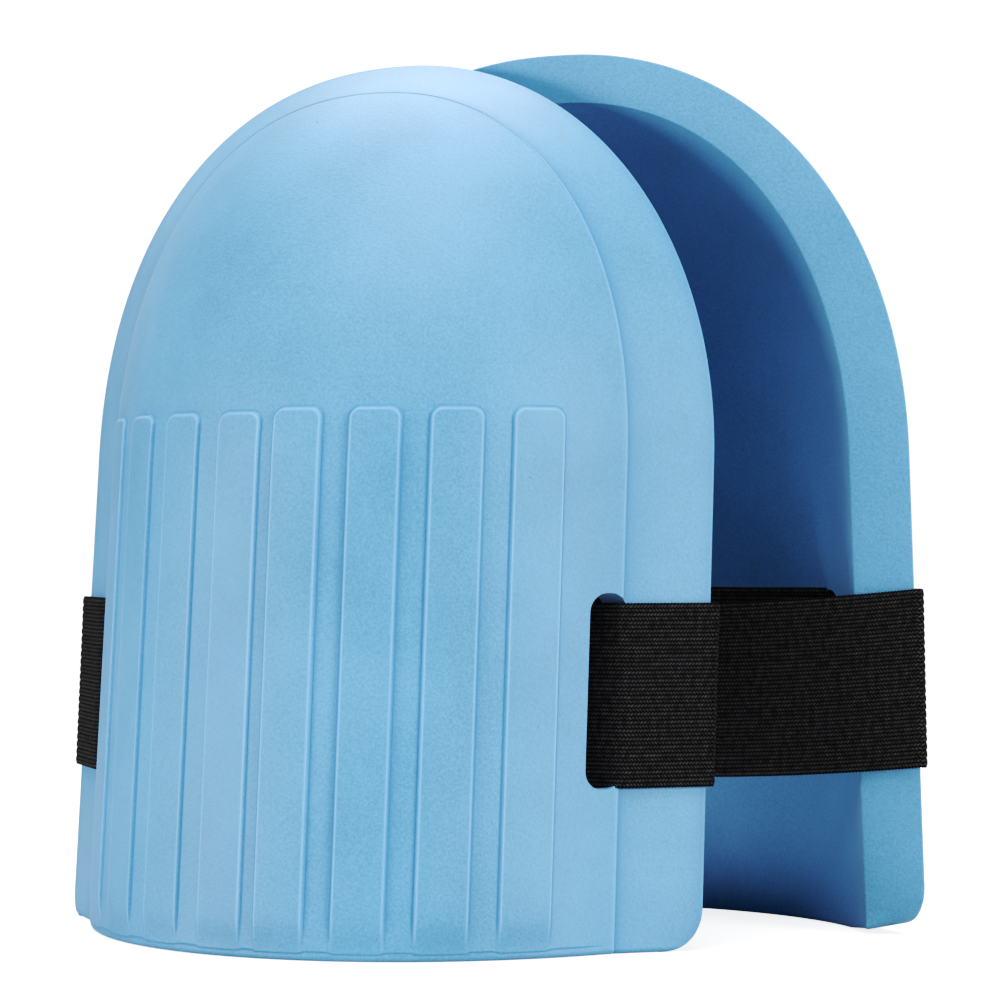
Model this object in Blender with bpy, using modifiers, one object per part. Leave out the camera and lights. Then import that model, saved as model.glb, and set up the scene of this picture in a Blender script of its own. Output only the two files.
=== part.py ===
"""A pair of strap-on foam knee pads, standing on their open ends with the hollows facing each other.

Each pad is one moulded foam shell with an elastic strap. The strap crosses the hollow, leaves it through a
slot on each side, lies over the flanks and closes behind the hollow with a sewn-on hook patch and loop patch.

A pad is modelled in its own frame: X across, Y out of the hollow, Z up, with the rim in the plane y = 0 and
the dome towards -Y. lean() then tips it towards +Y, because the base is cut at a slant to the rim.
"""

import math

import bmesh
import bpy
from mathutils import Matrix, Vector

MM = 0.001

# Foam shell, outside. The crease is where the dome meets the flank.
HEIGHT = 202.5 * MM
HALF_WIDTH = 83.1 * MM
SIDE_TAPER = 0.0135
SPRING_HEIGHT = 107.0 * MM
ARCH_POWER = 2.24
CREASE_SIDE_INSET = 14.9 * MM
CREASE_TOP_INSET = 8.4 * MM
FLANK_DEPTH = 14.6 * MM
DOME_RISE = 42.6 * MM
DOME_ARC = math.radians(59)
CORNER_ALONG_FLANK = 9.0 * MM
CORNER_UP = 9.0 * MM
RIM_LAND = 9.0 * MM
LEAN = 0.078

# Foam shell, inside
WALL_SIDE = 14.6 * MM
WALL_TOP = 9.8 * MM
HOLLOW_DEPTH = 38.0 * MM
HOLLOW_ARC = math.radians(66)
HOLLOW_COLUMNS = 9
CUT_PAST = 6.0 * MM

# Rows of the shell. Those over the arch crowd towards the spring line.
CORNER_ROWS = (0.0, 0.05, 0.2, 0.5, 1.0)
SLOT_ROW_RISE = 0.55
ARCH_STEPS = 14
ARCH_CROWDING = 1.15
FIRST_OUTER_STEP = 4
FIRST_HOLLOW_STEP = 2
WELD = 0.01 * MM
ROUNDING = 0.001 * MM

# Ribs, given as angles of the dome's arc
RIBS_A_SIDE = 4
RIB_ANGLE = math.radians(8.47)
RIB_GAP_ANGLE = math.radians(4.32)
RIB_CENTRE_GAP_ANGLE = math.radians(2.34)
RIB_EDGE_ANGLE = math.radians(0.9)
RIB_HEIGHT = 1.1 * MM
RIB_TOP = 119.5 * MM
RIB_END = 2.0 * MM

# Strap slots
SLOT_ANGLE = math.radians(25)
SLOT_WIDTH = 9.6 * MM
SLOT_BOTTOM = 35.2 * MM
SLOT_TOP = 79.0 * MM
SLOT_CORNER = 3.2 * MM
SLOT_CUT_LENGTH = 36.0 * MM
SLOT_CUT_BACK = 6.0 * MM
SLOT_REAR_SHARE = 0.96

# Strap and closure
STRAP_THICKNESS = 1.5 * MM
STRAP_BOTTOM = 36.3 * MM
STRAP_WIDTH = 40.0 * MM
STRAP_CLEARANCE = 0.5 * MM
STRAP_BEND = 2.0 * MM
OVERLAP_HALF = 26.0 * MM
PATCH_THICKNESS = 1.0 * MM
PATCH_LENGTH = 46.0 * MM
PATCH_WIDTH = 37.0 * MM
PATCH_CORNER = 2.0 * MM
LAYER_GAP = 0.3 * MM
RAMP_END = 29.0 * MM
RAMP_LENGTH = 16.0 * MM
RAMP_STEPS = 6
THREAD_RADIUS = 0.3 * MM
STITCH_INSET = 2.2 * MM

# Where the two pads stand; PAIR_CENTRE puts the origin under the middle of the pair
PAIR_CENTRE = (18.05 * MM, 19.62 * MM)
FRONT_PLACE = (0.0, 0.0)
BACK_PLACE = (36.0 * MM, 39.2 * MM)
BACK_TURN = math.radians(184.6)

FOAM_BLUE = (0.25, 0.52, 0.72, 1.0)
ELASTIC_BLACK = (0.012, 0.012, 0.014, 1.0)
HOOK_BLACK = (0.02, 0.02, 0.022, 1.0)
LOOP_BLACK = (0.016, 0.016, 0.018, 1.0)
THREAD_BLACK = (0.03, 0.03, 0.033, 1.0)


def clear_scene():
    for obj in list(bpy.data.objects):
        bpy.data.objects.remove(obj, do_unlink=True)


def new_collection(name):
    collection = bpy.data.collections.new(name)
    bpy.context.scene.collection.children.link(collection)
    return collection


def new_material(name, colour, roughness):
    material = bpy.data.materials.new(name)
    material.use_nodes = True
    shader = material.node_tree.nodes["Principled BSDF"]
    shader.inputs["Base Color"].default_value = colour
    shader.inputs["Roughness"].default_value = roughness
    shader.inputs["Metallic"].default_value = 0.0
    return material


def lean(mesh):
    """Tips a mesh towards +Y in proportion to its height."""
    mesh.transform(Matrix(((1, 0, 0, 0), (0, 1, LEAN, 0), (0, 0, 1, 0), (0, 0, 0, 1))))


def new_object(name, mesh, material, collection, parent):
    obj = bpy.data.objects.new(name, mesh)
    mesh.materials.append(material)
    collection.objects.link(obj)
    obj.parent = parent
    return obj


def outline_station(rise, side_inset, top_inset):
    """(half-width, height) on an arch inside the rim's.

    rise runs from 0 to 1 up the sides and from 1 to 2 over the arch.
    """
    if rise <= 1:
        z = rise * SPRING_HEIGHT
        return HALF_WIDTH - SIDE_TAPER * z - side_inset, z
    angle = (rise - 1) * math.pi / 2
    spring_half = HALF_WIDTH - SIDE_TAPER * SPRING_HEIGHT - side_inset
    arch_height = HEIGHT - top_inset - SPRING_HEIGHT
    half = spring_half * max(math.cos(angle), 0.0) ** (2 / ARCH_POWER)
    return half, SPRING_HEIGHT + arch_height * math.sin(angle) ** (2 / ARCH_POWER)


def rise_at(z, top_inset):
    """The rise at which an outline reaches height z."""
    if z <= SPRING_HEIGHT:
        return z / SPRING_HEIGHT
    share = (z - SPRING_HEIGHT) / (HEIGHT - top_inset - SPRING_HEIGHT)
    return 1 + 2 / math.pi * math.asin(share ** (ARCH_POWER / 2))


def bulge(x, z, side_inset, top_inset, arc):
    """From 1 on the centre line to 0 on the outline, a circular arc across it and over its arch."""
    if z <= SPRING_HEIGHT:
        reach = abs(x) / (HALF_WIDTH - SIDE_TAPER * z - side_inset)
    else:
        across = abs(x) / (HALF_WIDTH - SIDE_TAPER * SPRING_HEIGHT - side_inset)
        up = (z - SPRING_HEIGHT) / (HEIGHT - top_inset - SPRING_HEIGHT)
        reach = (across**ARCH_POWER + up**ARCH_POWER) ** (1 / ARCH_POWER)
    sine = min(reach, 1.0) * math.sin(arc)
    return (math.sqrt(1 - sine * sine) - math.cos(arc)) / (1 - math.cos(arc))


def rib_columns():
    """(angle, raised) pairs from the centre line to the crease on one side."""
    columns = [(0.0, False)]
    for rib in range(RIBS_A_SIDE):
        start = RIB_CENTRE_GAP_ANGLE / 2 + rib * (RIB_ANGLE + RIB_GAP_ANGLE)
        end = start + RIB_ANGLE
        columns += [(start, False), (start + RIB_EDGE_ANGLE, True)]
        columns += [(end - RIB_EDGE_ANGLE, True), (end, False)]
    last = columns[-1][0]
    columns += [((last + DOME_ARC) / 2, False), (DOME_ARC, False)]
    return columns


def corner_cut(z):
    """The share of the flank's width that is rounded off the rim's outer edge at height z."""
    if z >= CORNER_UP:
        return 0.0
    drop = 1 - z / CORNER_UP
    along = CORNER_ALONG_FLANK * (1 - math.sqrt(1 - drop * drop))
    return along / math.hypot(CREASE_SIDE_INSET, FLANK_DEPTH)


def outer_row(rise):
    """One level of the right half's outside: centre line, dome, crease, flank, rim, centre line again."""
    half, z = outline_station(rise, CREASE_SIDE_INSET, CREASE_TOP_INSET)
    rim_half, rim_z = outline_station(rise, 0.0, 0.0)
    dome = []
    for angle, raised in rib_columns():
        x = half * math.sin(angle) / math.sin(DOME_ARC)
        depth = FLANK_DEPTH + DOME_RISE * bulge(x, z, CREASE_SIDE_INSET, CREASE_TOP_INSET, DOME_ARC)
        lift = RIB_HEIGHT if raised and z <= RIB_TOP - RIB_END + ROUNDING else 0.0
        dome.append((x + lift * math.sin(angle), -depth - lift * math.cos(angle), z))
    cut_share = corner_cut(rim_z)
    rim = (rim_half - cut_share * CREASE_SIDE_INSET, -cut_share * FLANK_DEPTH, rim_z)
    land = (max(rim_half - RIM_LAND, 0.0), 0.0, rim_z)
    return dome + [rim, land, (0.0, 0.0, rim_z)]


def arch_rises(first_step):
    return [1.0 + (step / ARCH_STEPS) ** ARCH_CROWDING for step in range(first_step, ARCH_STEPS + 1)]


def outer_rises():
    sides = [share * CORNER_UP / SPRING_HEIGHT for share in CORNER_ROWS] + [SLOT_ROW_RISE, 1.0]
    rib_ends = [rise_at(RIB_TOP - RIB_END, CREASE_TOP_INSET), rise_at(RIB_TOP, CREASE_TOP_INSET)]
    return sides + rib_ends + arch_rises(FIRST_OUTER_STEP)


def hollow_row(rise):
    """One level of the right half of the hollow, run past the rim and the base so that it cuts cleanly."""
    half, z = outline_station(rise, WALL_SIDE, WALL_TOP)
    inside = []
    for step in range(HOLLOW_COLUMNS + 1):
        angle = HOLLOW_ARC * step / HOLLOW_COLUMNS
        x = half * math.sin(angle) / math.sin(HOLLOW_ARC)
        inside.append((x, -HOLLOW_DEPTH * bulge(x, z, WALL_SIDE, WALL_TOP, HOLLOW_ARC), z))
    row = inside + [(half, CUT_PAST, z), (0.0, CUT_PAST, z)]
    return [(x, y, -CUT_PAST) for x, y, _ in row] if rise == 0 else row


def hollow_rises():
    return [0.0, 0.5, 1.0] + arch_rises(FIRST_HOLLOW_STEP)


def half_loft(name, rows):
    """The right half of a body, through rows of points, capped below and open at x = 0 for Mirror.

    The rows run anticlockwise seen from above, so the faces point outwards. The last row is the centre line.
    """
    bm = bmesh.new()
    made = [[bm.verts.new(point) for point in row] for row in rows]
    for low, high in zip(made, made[1:]):
        for i in range(len(low) - 1):
            bm.faces.new((low[i], low[i + 1], high[i + 1], high[i]))
    bm.faces.new(made[0][::-1])
    bmesh.ops.remove_doubles(bm, verts=bm.verts, dist=WELD)
    bmesh.ops.dissolve_degenerate(bm, dist=ROUNDING, edges=bm.edges)
    mesh = bpy.data.meshes.new(name)
    bm.to_mesh(mesh)
    bm.free()
    return mesh


def mirror(obj):
    modifier = obj.modifiers.new("mirror", "MIRROR")
    modifier.use_clip = True
    modifier.merge_threshold = WELD


def rim_corner():
    """The rim's outer edge at the strap's middle, in plan."""
    return HALF_WIDTH - SIDE_TAPER * (STRAP_BOTTOM + STRAP_WIDTH / 2), 0.0


def flank_direction():
    length = math.hypot(CREASE_SIDE_INSET, FLANK_DEPTH)
    return CREASE_SIDE_INSET / length, FLANK_DEPTH / length


def slot_cutter(name, material, collection, pad):
    """A rounded bar through the right wall beside the crease, at SLOT_ANGLE to the rim, and its mirror."""
    bpy.ops.mesh.primitive_cube_add(size=1)
    cutter = bpy.context.object
    cutter.name = name
    mesh = cutter.data
    mesh.transform(Matrix.Diagonal((SLOT_CUT_LENGTH, SLOT_WIDTH, SLOT_TOP - SLOT_BOTTOM, 1.0)))
    round_long_edges(mesh)
    corner_x, corner_y = rim_corner()
    rear_x = corner_x - SLOT_REAR_SHARE * CREASE_SIDE_INSET
    rear_y = corner_y - SLOT_REAR_SHARE * FLANK_DEPTH
    axis_x, axis_y = math.cos(SLOT_ANGLE), -math.sin(SLOT_ANGLE)
    middle = (
        rear_x - axis_x * SLOT_CUT_BACK + axis_y * SLOT_WIDTH / 2,
        rear_y - axis_y * SLOT_CUT_BACK - axis_x * SLOT_WIDTH / 2,
        (SLOT_TOP + SLOT_BOTTOM) / 2,
    )
    mesh.transform(Matrix.Translation(middle) @ Matrix.Rotation(-SLOT_ANGLE, 4, "Z"))
    lean(mesh)
    for owner in list(cutter.users_collection):
        owner.objects.unlink(cutter)
    collection.objects.link(cutter)
    cutter.parent = pad
    mesh.materials.append(material)
    mirror(cutter)
    hide_cutter(cutter)
    return cutter


def round_long_edges(mesh):
    """Rounds the four edges that run along X."""
    bm = bmesh.new()
    bm.from_mesh(mesh)
    long_edges = [e for e in bm.edges if abs(e.verts[0].co.x - e.verts[1].co.x) > SLOT_CUT_LENGTH / 2]
    bmesh.ops.bevel(bm, geom=long_edges, offset=SLOT_CORNER, segments=3, profile=0.5, affect="EDGES")
    bm.to_mesh(mesh)
    bm.free()


def hide_cutter(obj):
    obj.hide_render = True
    obj.display_type = "WIRE"


def cut(target, cutter, name):
    modifier = target.modifiers.new(name, "BOOLEAN")
    modifier.operation = "DIFFERENCE"
    modifier.solver = "EXACT"
    modifier.object = cutter


def foam_shell(prefix, materials, parts, cutters, pad):
    outer = half_loft(prefix + "_foam_shell", [outer_row(rise) for rise in outer_rises()])
    lean(outer)
    shell = new_object(prefix + "_foam_shell", outer, materials["foam"], parts, pad)
    mirror(shell)
    inner = half_loft(prefix + "_hollow", [hollow_row(rise) for rise in hollow_rises()])
    lean(inner)
    hollow = new_object(prefix + "_hollow", inner, materials["foam"], cutters, pad)
    mirror(hollow)
    hide_cutter(hollow)
    cut(shell, hollow, "hollow")
    cut(shell, slot_cutter(prefix + "_slots", materials["foam"], cutters, pad), "slots")


def arc_points(centre, radius, start, end, steps=4):
    points = []
    for step in range(steps + 1):
        angle = start + (end - start) * step / steps
        points.append((centre[0] + radius * math.cos(angle), centre[1] + radius * math.sin(angle)))
    return points


def main_run_path():
    """The middle of the fixed strap in plan: flank, slot, straight across the hollow, slot, flank."""
    offset = STRAP_CLEARANCE + STRAP_THICKNESS / 2
    corner_x, corner_y = rim_corner()
    along_x, along_y = flank_direction()
    end = (corner_x + along_y * offset, corner_y - along_x * offset)
    flank = math.hypot(CREASE_SIDE_INSET, FLANK_DEPTH)
    turn = math.atan2(along_y, along_x)
    back = STRAP_BEND * math.tan(turn / 2)
    bend = (end[0] - along_x * flank, end[1] - along_y * flank)
    centre = (bend[0] - back, bend[1] + STRAP_BEND)
    right = arc_points(centre, STRAP_BEND, -math.pi / 2, -math.pi / 2 + turn) + [end]
    left = [(-x, y) for x, y in reversed(right)]
    return left + right


def flap_path(side, outward):
    """The middle of a flap in plan, from its fold at one side of the rim to its free end past the middle.

    With outward above zero, the flap steps out by that much on the way, to lie over the other flap.
    """
    near = STRAP_CLEARANCE + STRAP_THICKNESS / 2
    path = [(rim_corner()[0], near)]
    if outward:
        for step in range(RAMP_STEPS + 1):
            share = step / RAMP_STEPS
            rise = 0.5 - 0.5 * math.cos(math.pi * share)
            path.append((RAMP_END + RAMP_LENGTH * (1 - share), near + outward * rise))
    path.append((-OVERLAP_HALF, near + outward))
    return [(side * x, y) for x, y in path]


def band(name, path, material, collection, parent):
    """A strap: an upright ribbon along a path in plan, given its thickness by Solidify.

    The path is in the pad's frame, so a flap's ribbon is moved back by its hinge's place.
    """
    bm = bmesh.new()
    low = [bm.verts.new((x, y, STRAP_BOTTOM)) for x, y in path]
    high = [bm.verts.new((x, y, STRAP_BOTTOM + STRAP_WIDTH)) for x, y in path]
    for i in range(len(path) - 1):
        bm.faces.new((low[i], low[i + 1], high[i + 1], high[i]))
    mesh = bpy.data.meshes.new(name)
    bm.to_mesh(mesh)
    bm.free()
    lean(mesh)
    obj = new_object(name, mesh, material, collection, parent)
    if parent.parent:
        obj.location = -parent.location
    thick = obj.modifiers.new("thickness", "SOLIDIFY")
    thick.thickness = STRAP_THICKNESS
    thick.offset = 0.0
    thick.use_even_offset = True
    return obj


def rounded_rectangle(half_long, half_tall, corner, steps=4):
    points = []
    for quarter in range(4):
        start = quarter * math.pi / 2
        centre_x = (half_long - corner) * (1 if quarter in (0, 3) else -1)
        centre_z = (half_tall - corner) * (1 if quarter in (0, 1) else -1)
        points += arc_points((centre_x, centre_z), corner, start, start + math.pi / 2, steps)
    return points


def poly_curve(name, outline, dimensions):
    curve = bpy.data.curves.new(name, "CURVE")
    curve.dimensions = dimensions
    spline = curve.splines.new("POLY")
    spline.points.add(len(outline) - 1)
    for point, (x, z) in zip(spline.points, outline):
        point.co = (x, z, 0.0, 1.0)
    spline.use_cyclic_u = True
    return curve


def lay_on_closure(name, curve, y_middle, material, collection, flap):
    """Stands a flat curve up at the middle of the closure, tipped as the strap is."""
    obj = bpy.data.objects.new(name, curve)
    curve.materials.append(material)
    collection.objects.link(obj)
    obj.parent = flap
    middle_z = STRAP_BOTTOM + STRAP_WIDTH / 2
    obj.location = Vector((0.0, y_middle + LEAN * middle_z, middle_z)) - flap.location
    obj.rotation_euler = (math.pi / 2 - math.atan(LEAN), 0.0, 0.0)
    return obj


def patch(name, y_near, material, collection, flap):
    """A flat rectangle of hook or loop tape with rounded corners."""
    outline = rounded_rectangle(PATCH_LENGTH / 2, PATCH_WIDTH / 2, PATCH_CORNER)
    curve = poly_curve(name, outline, "2D")
    curve.fill_mode = "BOTH"
    curve.extrude = PATCH_THICKNESS / 2
    return lay_on_closure(name, curve, y_near + PATCH_THICKNESS / 2, material, collection, flap)


def stitching(name, y_middle, material, collection, flap):
    """One closed seam of thread round a patch, lying on the elastic's free face."""
    half_long = PATCH_LENGTH / 2 - STITCH_INSET
    half_tall = PATCH_WIDTH / 2 - STITCH_INSET
    curve = poly_curve(name, rounded_rectangle(half_long, half_tall, PATCH_CORNER / 2, steps=2), "3D")
    curve.bevel_depth = THREAD_RADIUS
    curve.bevel_resolution = 1
    return lay_on_closure(name, curve, y_middle, material, collection, flap)


def hinge_empty(name, side, collection, pad):
    """An empty on the line where a flap folds round the rim, with its own Z along that line."""
    empty = bpy.data.objects.new(name, None)
    collection.objects.link(empty)
    empty.parent = pad
    middle_z = STRAP_BOTTOM + STRAP_WIDTH / 2
    fold_y = STRAP_CLEARANCE + STRAP_THICKNESS / 2
    empty.location = (side * rim_corner()[0], fold_y + LEAN * middle_z, middle_z)
    return empty


def closure_layers():
    """Y of each layer's near face at the closure, going out from the rim."""
    loop_elastic = STRAP_CLEARANCE
    loop_patch = loop_elastic + STRAP_THICKNESS + LAYER_GAP
    hook_patch = loop_patch + PATCH_THICKNESS + LAYER_GAP
    hook_elastic = hook_patch + PATCH_THICKNESS + LAYER_GAP
    return loop_elastic, loop_patch, hook_patch, hook_elastic


def strap(prefix, hook_side, materials, parts, pad):
    """The elastic with its closure. The hook end comes from hook_side and folds over the loop end."""
    loop_elastic, loop_patch, hook_patch, hook_elastic = closure_layers()
    elastic = materials["elastic"]
    thread = materials["thread"]
    seam_gap = LAYER_GAP + THREAD_RADIUS
    band(prefix + "_strap_main_run", main_run_path(), elastic, parts, pad)

    hook_flap = hinge_empty(prefix + "_hook_flap", hook_side, parts, pad)
    hook_path = flap_path(hook_side, hook_elastic - loop_elastic)
    band(prefix + "_strap_hook_end", hook_path, elastic, parts, hook_flap)
    patch(prefix + "_hook_patch", hook_patch, materials["hook"], parts, hook_flap)
    hook_seam = hook_elastic + STRAP_THICKNESS + seam_gap
    stitching(prefix + "_hook_stitching", hook_seam, thread, parts, hook_flap)

    loop_flap = hinge_empty(prefix + "_loop_flap", -hook_side, parts, pad)
    band(prefix + "_strap_loop_end", flap_path(-hook_side, 0.0), elastic, parts, loop_flap)
    patch(prefix + "_loop_patch", loop_patch, materials["loop"], parts, loop_flap)
    stitching(prefix + "_loop_stitching", loop_elastic - seam_gap, thread, parts, loop_flap)


def knee_pad(prefix, place, turn, hook_side, materials, parts, cutters):
    """One whole pad, under an empty that stands on the floor at the middle of its rim."""
    pad = bpy.data.objects.new(prefix + "_pad", None)
    parts.objects.link(pad)
    pad.location = (place[0] - PAIR_CENTRE[0], place[1] - PAIR_CENTRE[1], 0.0)
    pad.rotation_euler = (0.0, 0.0, turn)
    foam_shell(prefix, materials, parts, cutters, pad)
    strap(prefix, hook_side, materials, parts, pad)


def main():
    clear_scene()
    parts = new_collection("knee_pads")
    cutters = new_collection("cutters")
    materials = {
        "foam": new_material("foam", FOAM_BLUE, 0.75),
        "elastic": new_material("elastic", ELASTIC_BLACK, 0.85),
        "hook": new_material("hook_tape", HOOK_BLACK, 0.6),
        "loop": new_material("loop_tape", LOOP_BLACK, 0.95),
        "thread": new_material("thread", THREAD_BLACK, 0.7),
    }
    knee_pad("front", FRONT_PLACE, 0.0, -1, materials, parts, cutters)
    knee_pad("back", BACK_PLACE, BACK_TURN, 1, materials, parts, cutters)


main()
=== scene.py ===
"""The looks of a pair of strap-on foam knee pads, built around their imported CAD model.

Each pad is modelled in its own frame, in millimetres: X across, Y out of the hollow, Z up, with the rim in
the plane y = 0 and the dome towards -Y. place() then leans it, stands it in the pair and turns millimetres
into metres.
"""

import math
from dataclasses import dataclass

import bmesh
import bpy
import numpy as np
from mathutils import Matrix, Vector

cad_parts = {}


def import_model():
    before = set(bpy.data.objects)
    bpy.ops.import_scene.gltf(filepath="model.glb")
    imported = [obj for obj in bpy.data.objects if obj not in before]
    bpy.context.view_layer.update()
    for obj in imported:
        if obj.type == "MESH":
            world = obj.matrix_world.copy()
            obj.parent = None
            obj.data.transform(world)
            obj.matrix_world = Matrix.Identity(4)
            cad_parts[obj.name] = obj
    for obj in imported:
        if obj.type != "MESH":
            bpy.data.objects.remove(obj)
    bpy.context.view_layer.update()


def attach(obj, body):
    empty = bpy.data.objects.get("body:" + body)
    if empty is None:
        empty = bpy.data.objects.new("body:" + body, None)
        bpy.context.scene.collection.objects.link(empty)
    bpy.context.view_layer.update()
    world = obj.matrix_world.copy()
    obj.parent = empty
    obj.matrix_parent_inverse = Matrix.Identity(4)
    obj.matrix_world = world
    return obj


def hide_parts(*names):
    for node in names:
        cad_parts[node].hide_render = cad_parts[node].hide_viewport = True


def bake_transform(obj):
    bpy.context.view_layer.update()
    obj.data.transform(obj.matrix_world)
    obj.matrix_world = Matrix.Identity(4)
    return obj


MM = 0.001

# Foam shell, outside
HEIGHT = 202.5
HALF_WIDTH = 83.1
SIDE_TAPER = 0.0135
SPRING_HEIGHT = 107.0
ARCH_POWER = 2.24
CREASE_SIDE_INSET = 14.9
CREASE_TOP_INSET = 8.4
FLANK_DEPTH = 14.6
DOME_RISE = 42.6
DOME_ARC = math.radians(59)
CORNER = 9.0
LEAN = 0.078

# A raised lip on the dome's side of the crease
CREASE_LIP = 0.22
CREASE_LIP_AT = 0.5
CREASE_LIP_WIDTH = 0.45

# Foam shell, inside
WALL_SIDE = 14.6
WALL_TOP = 9.8
HOLLOW_DEPTH = 38.0
HOLLOW_ARC = math.radians(66)

# Ribs: a rounded rectangle each, raised from the dome. Degrees are of the dome's arc.
RIBS_A_SIDE = 4
RIB_DEGREES = 8.47
RIB_GAP_DEGREES = 4.32
RIB_CENTRE_GAP_DEGREES = 2.34
RIB_EDGE_INSET_DEGREES = 0.15
MM_A_DEGREE = 1.45
RIB_HEIGHT = 1.0
RIB_EDGE = 0.65
EDGE_COLUMNS = 13
EDGE_REACH = 0.9
EDGE_OUTER_COLUMNS = (1.3, 1.8, 2.4, 3.1)
RIB_CORNER = 2.6
RIB_TOP = 118.6
RIB_FADE_FROM = 1.5
RIB_FADE_TO = 9.0
# Width of the painted highlight on each rib's shoulder and of the painted shade at its foot, and the
# strength of that painted shade
PAINTED_EDGE_WIDTH = 0.25
FOOT_PAINTED_SHADE = 0.7

# The dome's columns towards the crease, in degrees from it: where the evenly spaced ones stop, how many they
# are, and the first, the last and the number of the close ones
CREASE_COLUMNS_FROM = 1.6
CREASE_COLUMNS_FAR = 8
CREASE_COLUMNS_NEAR = (1.3, 0.1, 8)

# Heights of the shell's rows, from the base up. A stretch of even rows is (first, limit, step).
BASE_ROWS = (0.0, 0.1, 0.25, 0.45, 0.7, 0.95)
PARTING_ROWS = (1.15, 2.8, 0.12)
FOOT_ROWS = (3.1, 3.7, 4.5, 5.5, 7.0, 9.0)
SIDE_ROWS = (12.0, 114.0, 3.0)
RIB_TOP_ROWS = (114.5, 120.4, 0.3)
ARCH_FROM = 121.0
ARCH_ROWS = 60

# Columns up the flank from crease to rim, the painted highlight on the crease's lip, and the painted shade
# that gathers on the flank beside the crease and the rim, with a thin line of painted shade at the crease
FLANK_SHARES = np.linspace(0.0, 1.0, 22) ** 1.6
LIP_PAINTED_HIGHLIGHT = 0.6
LIP_PAINTED_HIGHLIGHT_WIDTH = 0.26
CREASE_PAINTED_SHADE = 0.6
CREASE_PAINTED_SHADE_WIDTH = 2.6
CREASE_PAINTED_LINE = 0.4
CREASE_PAINTED_LINE_WIDTH = 0.5
RIM_PAINTED_SHADE = 0.45
RIM_PAINTED_SHADE_WIDTH = 1.8

# Where rounded edges begin and end, as shares of the flank, the wall and the hollow's arc, and column counts
FLANK_END = 0.95
RIM_START = 0.06
RIM_END = 0.965
HOLLOW_START = 0.992
RIM_COLUMNS = 8
HOLLOW_COLUMNS = 30
EDGE_STEPS = 6

# The base's rounded edge, and the parting line that runs round the dome just above it
BASE_ROUND = 1.1
BASE_RISE_FROM = 62.0
BASE_RISE_TO = 30.0
PARTING_HEIGHT = 1.95
PARTING_DIP = 0.4
PARTING_WIDTH = 0.16
PARTING_DEPTH = 0.22
PARTING_END_DEGREES = 52.0
PARTING_BLEND = 1.0
FOOT_STEP = 0.25
FOOT_STEP_FROM = 0.1
FOOT_STEP_TO = 0.2

# Strap slots
SLOT_ANGLE = math.radians(25)
SLOT_WIDTH = 9.6
SLOT_BOTTOM = 35.9
SLOT_TOP = 78.8
SLOT_CORNER = 4.2
SLOT_CUT_LENGTH = 36.0
SLOT_CUT_BACK = 6.0
SLOT_REAR_SHARE = 0.96
SLOT_CORNER_STEPS = 8

# Welding distance, and the angles in degrees above which an edge stays sharp
SHELL_WELD = 0.004
SHELL_SMOOTH_ANGLE = 38
STRAP_SMOOTH_ANGLE = 70
PATCH_SMOOTH_ANGLE = 50
THREAD_SMOOTH_ANGLE = 60

# Strap and closure
STRAP_THICKNESS = 1.3
STRAP_BOTTOM = 36.3
STRAP_WIDTH = 40.0
STRAP_CLEARANCE = 0.3
STRAP_BEND = 6.0
OVERLAP_HALF = 26.0
RAMP_END = 29.0
RAMP_LENGTH = 16.0
RAMP_STEPS = 24
FOLD_STEPS = 16
WALES = 22
WALE_DEPTH = 0.22
WALE_ROUNDNESS = 0.7
# Points across one wale, as shares of it, and (offset, height) of the bead along each edge of the strap
WALE_STEPS = (0.0, 0.12, 0.32, 0.68, 0.88)
EDGE_BEAD = ((0.45, 0.16), (0.0, 0.28), (-0.45, 0.16))
STITCH_PITCH = 0.78
EDGE_TOOTH = 0.1
LAYER_GAP = 0.4
PATCH_THICKNESS = 1.0
PATCH_LENGTH = 46.0
PATCH_WIDTH = 37.0
PATCH_CORNER = 2.0
PATCH_CORNER_STEPS = 6
PATCH_EASE = 0.25
THREAD_RADIUS = 0.3
THREAD_SIDES = 6
THREAD_RINGS = 7
THREAD_END = 0.06
THREAD_TAPER = 0.35
SEAM_CORNER_STEPS = 4
# The gap between a seam's middle and the elastic, as a share of the thread's radius
SEAM_GAP = 0.4
STITCH_INSET = 2.2
THREAD_STITCH = 2.4

# Inside the hollow the strap can ride up in its slots, over this stretch of its way
RUN_LIFT_FROM = 70.0
RUN_LIFT_TO = 61.0
# Behind the rim it hangs lower again, from its fold to this distance from the middle
SAG_END = 20.0
SAG_POWER = 1.8


@dataclass
class Half:
    """The form of one half of a shell. Soft foam pads are never quite alike, nor quite symmetrical."""

    height: float = HEIGHT
    taper: float = SIDE_TAPER
    rim_power: float = ARCH_POWER
    dome_power: float = ARCH_POWER
    hollow_power: float = ARCH_POWER
    wall_top: float = WALL_TOP
    corner: float = CORNER
    base_rise: float = 0.0
    rib_height: float = RIB_HEIGHT
    rib_top: float = RIB_TOP


# How the two pads stand: where the middle of the rim is, the turn, and the side the hook end comes from.
# Then the left and right halves' forms, and how much higher than its solid the strap lies at the left and
# right folds, inside the hollow, and in the middle of the closure.
PADS = {
    "front": {
        "at": (-18.05, -19.62),
        "turn": 0.0,
        "hook_side": -1,
        "halves": (
            Half(corner=6.0, rib_height=0.8),
            Half(taper=0.0045, rim_power=2.04, dome_power=2.2, rib_top=119.4),
        ),
        "fold_lift": (0.0, 0.0),
        "run_lift": 0.0,
        "middle_lift": 0.0,
    },
    "back": {
        "at": (17.95, 19.58),
        "turn": math.radians(184.6),
        "hook_side": 1,
        "halves": (
            Half(height=203.8, wall_top=11.4, rim_power=2.14, hollow_power=2.17, base_rise=3.4),
            Half(height=203.8, wall_top=11.4, rim_power=2.3),
        ),
        "fold_lift": (2.8, 0.0),
        "run_lift": 2.7,
        "middle_lift": -0.9,
    },
}

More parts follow.
